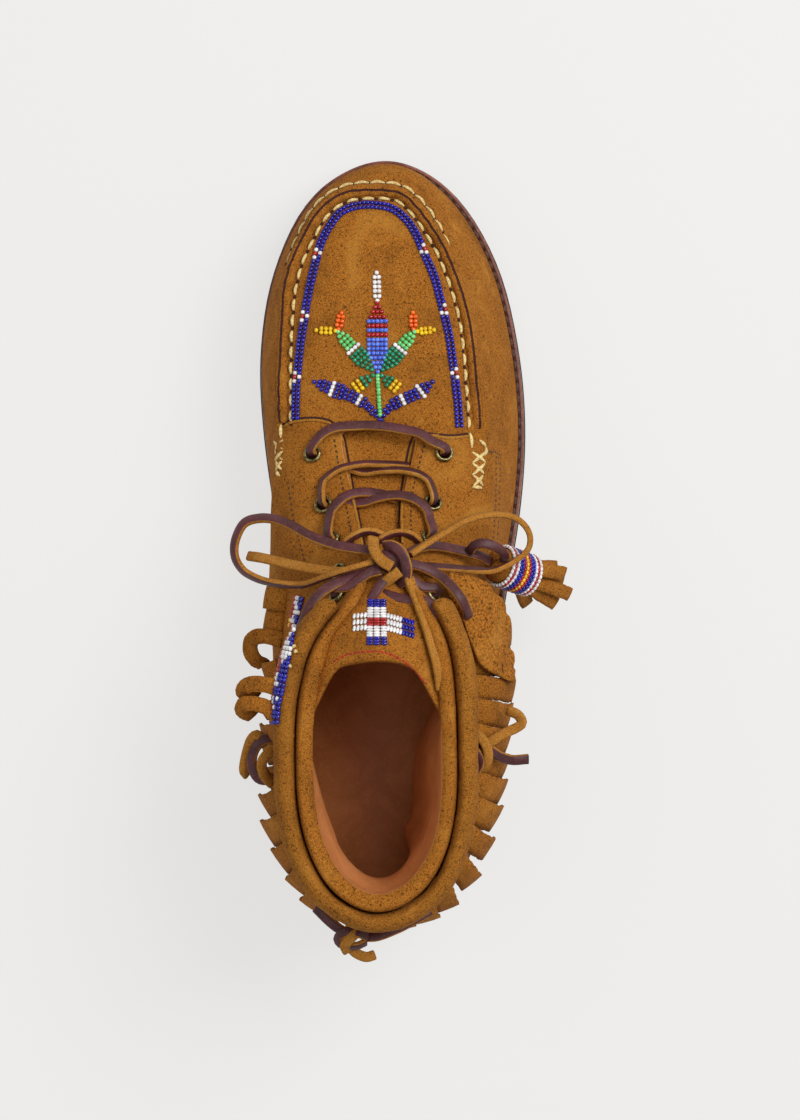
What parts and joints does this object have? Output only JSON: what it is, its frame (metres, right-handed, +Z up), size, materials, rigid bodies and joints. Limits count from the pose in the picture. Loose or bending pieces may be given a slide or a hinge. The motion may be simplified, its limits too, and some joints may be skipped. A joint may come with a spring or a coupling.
{
  "type": "moccasin boot",
  "caption": "Ankle-high fringed moccasin boot for the right foot, with a hollow suede upper, beaded apron, leather lace tied in a bow, tassel and low-heeled sole.",
  "frame": {"origin": "on the floor under the middle of the heel", "axes": "+Y towards the toe, +X towards the outer side of the foot, +Z up"},
  "size_m": [0.1324, 0.3004, 0.1216],
  "materials": {
    "suede": "napped, matt",
    "rubber": "matt",
    "crepe": "matt",
    "welt_leather": "smooth",
    "insole_leather": "smooth, satin",
    "brass": "antique, dull",
    "lace_leather": "smooth grain, suede back"
  },
  "bodies": {
    "root": {"outsole": "rubber", "heel": "rubber", "midsole": "crepe", "welt": "welt_leather", "insole": "insole_leather", "upper": "suede", "tongue": "suede", "collar_roll": "suede", "fringe": "suede", "cuff_flap": "suede", "tassel": "suede", "eyelet_outer_1": "brass", "eyelet_outer_2": "brass", "eyelet_outer_3": "brass", "eyelet_outer_4": "brass", "eyelet_outer_5": "brass", "eyelet_inner_1": "brass", "eyelet_inner_2": "brass", "eyelet_inner_3": "brass", "eyelet_inner_4": "brass", "eyelet_inner_5": "brass", "lace_bar_1": "lace_leather", "lace_cross_2": "lace_leather", "lace_cross_3": "lace_leather", "lace_cross_4": "lace_leather", "bow_knot": "lace_leather", "bow_loop_left": "lace_leather", "bow_loop_right": "lace_leather", "lace_end_left": "lace_leather", "lace_lead_right": "lace_leather"}
  },
  "joints": []
}
